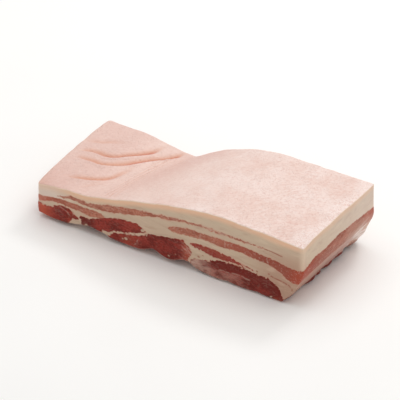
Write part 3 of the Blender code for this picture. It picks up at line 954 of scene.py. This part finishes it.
def fat_fields(along, across, height, depth):
    """How the fat differs from place to place: darker, with painted shade on the thick end's undercut foot,
    skinned or whiter.
    """
    thick_end = past(along, 262, 10)
    deep = 0.25 * past(depth, 8, 12) + past(along, 215, 60) * (0.3 + 0.6 * past(depth, 5, 40))
    # Painted shade on the thick end's undercut foot, in a lean-brown tint, stronger at two places across.
    foot_shade = 0.36 + 0.12 * bump(across - 20, 18) + 0.42 * bump(across - 78, 26)
    return {
        # Darker deeper in the fat and towards the thick end. The part on the thick end's undercut foot is painted
        # shade.
        "deep": clamp(deep) * before(across, 8, 6) + thick_end * before(height, 36, 8) * smooth(across / 6),
        "foot_shade": foot_shade * thick_end * before(height, 33, 6) * smooth(across / 8) * before(across, 104, 14),
        "skinned": past(across, 86, 14) * before(height, 37, 5) * past(along, 262, 12),
        "band": 0.9 - 0.45 * past(along, 276, 8) - 0.5 * before(along, 48, 30),
        # Painted highlight down the thick end's rounded front corner.
        "bevel": bump(np.hypot(LENGTH - 0.8 - along, across - 0.8), 3.0) * past(height, 38, 6),
        "whiter": 0.3 * past(along, 280, 3) * clamp(across / 100)
        + 0.4 * before(along, 46, 30) * past(height, 20, 6),
    }


def rind_fields(along, across):
    """How the rind differs from place to place: tan and red painted shade in its folds, pinker with painted shade
    on the step, grainier, a painted sheen, or paler.
    """
    back = across / WIDTH
    _, tan, red = crease_field(along, across)
    # The blush is partly painted shade on the step, strongest near its foot by the back cut, and partly darker,
    # pinker rind at the thin end.
    step = bump(along - mix((70, 112), back), mix((20, 26), back)) * mix((0.35, 1.0), back)
    thin = 0.43 * before(along, 74, 42) + 0.25 * bump(across - 8, 30) * before(along, 40, 20)
    # A paler band along the front cut, which is a painted highlight.
    edge = 0.4 * before(across, 12, 10) * past(along, 60, 60)
    return {
        # Painted shade: tan on each crease's back wall and at the thin end's drooping front corner, red along
        # each crease's bottom, and in the pleats' grooves.
        "crease_shade": tan * 0.82 + 0.25 * bump(np.hypot(along, across), 11),
        "crease_bottom_shade": red * 0.9,
        "pleat_shade": clamp(-1.6 * pleat_field(along, across) - 0.2),
        "blush_and_shade": clamp(step * 0.8 + thin),
        "grainy": 0.24 + 0.3 * past(along, 70, 170),
        # Painted sheen near the thick end's rolled edge.
        "sheen": smooth((along - 266 + 4 * np.sin(across / 9)) / 12),
        "pale": clamp(0.62 * past(along, 110, 40) + edge - 0.5 * bump(np.hypot(along - 218, across - 12), 24)),
    }


def rind_faces(mesh, depth):
    """Which faces are rind: those that look up, at the top of the joint."""
    corners = depth[read(mesh.loops, "vertex_index", kind=np.int32)]
    deepest = np.maximum.reduceat(corners, read(mesh.polygons, "loop_start", kind=np.int32))
    return (deepest < 1.3) & (read(mesh.polygons, "normal", 3)[:, 2] > 0.45)


class BELLY_OT_fat_and_rind(bpy.types.Operator):
    """Builds the fat with its rind, pocketed for the lean"""

    bl_idname = "belly.fat_and_rind"
    bl_label = "Fat and rind"

    def execute(self, context):
        colours, sizes = context.scene.belly_colours, context.scene.belly_sizes
        sheets, reds = ([helper(name) for name in names] for names in (SHEETS, REDS))
        obj = carved("cut_fat_and_rind", helper("block"), [("DIFFERENCE", sheet) for sheet in sheets])
        mesh, points = obj.data, points_of(obj.data)
        along, across, height = common_fields(mesh, points, FAT_LINES, FAT_SPOTS)
        depth, near = rind_height(along, across) - height, surface_distance(points, sheets)
        store(mesh, rind_depth=depth, lean_near=near, by_red=surface_distance(points, reds) < near + 0.05,
              **fat_fields(along, across, height, depth), **rind_fields(along, across))
        on_rind = rind_faces(mesh, depth)
        mesh.materials.clear()
        mesh.materials.append(knife_cut_fat(colours, sizes))
        mesh.materials.append(scalded_pork_rind(colours, sizes))
        mesh.polygons.foreach_set("material_index", on_rind.astype(np.int32))
        settle(obj)
        hand_over(obj, "fat_and_rind")
        for found in [o for o in bpy.data.objects if o.name.startswith("helper_")]:
            bpy.data.objects.remove(found)
        return {"FINISHED"}


class BELLY_OT_stage(bpy.types.Operator):
    """Lays the floor and sets up the studio light, the world and the camera"""

    bl_idname = "belly.stage"
    bl_label = "Stage"

    def execute(self, context):
        scene, settings = context.scene, context.scene.belly_stage
        middle = (CAD_BOX[0] + CAD_BOX[1]) / 2

        bpy.ops.mesh.primitive_plane_add(size=9, location=(0, 0, -FLOOR_GAP * MM))
        floor = context.active_object
        floor.name = "floor"
        # Matte painted board: an even, pale, dull surface with only a breath of variation.
        material, tree = new_material("matte_painted_board")
        shade = add(tree, "TexNoise", laid(tree, 180, Detail=2)).outputs["Fac"]
        pale, darker = ((*(share * c for c in scene.belly_colours.floor), 1) for share in (1, 0.985))
        paint = add(tree, "Mix", {0: masked(tree, (shade, 0.3, 0.7)), 6: pale, 7: darker}, data_type="RGBA")
        finish_material(tree, paint.outputs[2], roughness=0.85)
        floor.data.materials.append(material)

        scene.world = bpy.data.worlds.new("white_studio")
        scene.world.use_nodes = True
        sky = scene.world.node_tree.nodes["Background"].inputs
        sky["Color"].default_value, sky["Strength"].default_value = (1, 0.99, 0.98, 1), 0.56 * settings.light

        # (name, direction it shines from, distance, size, watts): a large soft box above and behind to
        # the right, and a smaller one behind that puts the sheen on the rind's edges.
        for name, direction, distance, size, watts in (
            ("soft_box", (0.05, 0.25, 1.0), 1.5, 2.2, 15.5),
            ("back_box", (0.08, 0.72, 0.70), 1.5, 0.35, 3.5),
        ):
            lamp = bpy.data.lights.new(name, "AREA")
            lamp.shape, lamp.size, lamp.energy = "SQUARE", size, watts * settings.light
            away = Vector(direction).normalized()
            linked(name, lamp, middle + away * distance, away.to_track_quat("Z", "Y"))

        camera = bpy.data.cameras.new("camera")
        camera.lens, camera.sensor_width = 1500, 36  # so long that lines along the joint stay parallel
        camera.clip_start, camera.clip_end = 0.05, 30
        turn, rise = settings.azimuth, settings.elevation
        back = Vector((math.sin(turn) * math.cos(rise), -math.cos(turn) * math.cos(rise), math.sin(rise)))
        facing = (-back).to_track_quat("-Z", "Y")
        aim = middle - facing @ Vector((AIM_LEFT, 0, 0)) * MM
        distance = settings.view_width * camera.lens / camera.sensor_width
        scene.camera = linked("camera", camera, aim + back * distance, facing)
        scene.view_settings.view_transform = "Standard"
        return {"FINISHED"}


class BELLY_PT_panel(bpy.types.Panel):
    """Lists the joint's sizes, colours and steps"""

    bl_idname = "BELLY_PT_panel"
    bl_label = "Pork Belly Joint"
    bl_space_type = "VIEW_3D"
    bl_region_type = "UI"
    bl_category = "Pork Belly"

    def draw(self, context):
        for group in (context.scene.belly_sizes, context.scene.belly_colours, context.scene.belly_stage):
            column = self.layout.column()
            for key in group.__annotations__:
                column.prop(group, key)
        for operator in OPERATORS:
            self.layout.operator(operator.bl_idname)


GROUPS = {"belly_sizes": BellySizes, "belly_colours": BellyColours, "belly_stage": StageSettings}
OPERATORS = (BELLY_OT_lean_streaks, BELLY_OT_rib_leans, BELLY_OT_fat_and_rind, BELLY_OT_stage)


def register():
    for cls in (*GROUPS.values(), *OPERATORS, BELLY_PT_panel):
        bpy.utils.register_class(cls)
    for name, cls in GROUPS.items():
        setattr(bpy.types.Scene, name, PointerProperty(type=cls))


def unregister():
    for name in GROUPS:
        delattr(bpy.types.Scene, name)
    for cls in reversed((*GROUPS.values(), *OPERATORS, BELLY_PT_panel)):
        bpy.utils.unregister_class(cls)


def main():
    register()
    bpy.ops.belly.lean_streaks()
    bpy.ops.belly.rib_leans()
    bpy.ops.belly.fat_and_rind()
    bpy.ops.belly.stage()


if __name__ == "__main__":
    main()
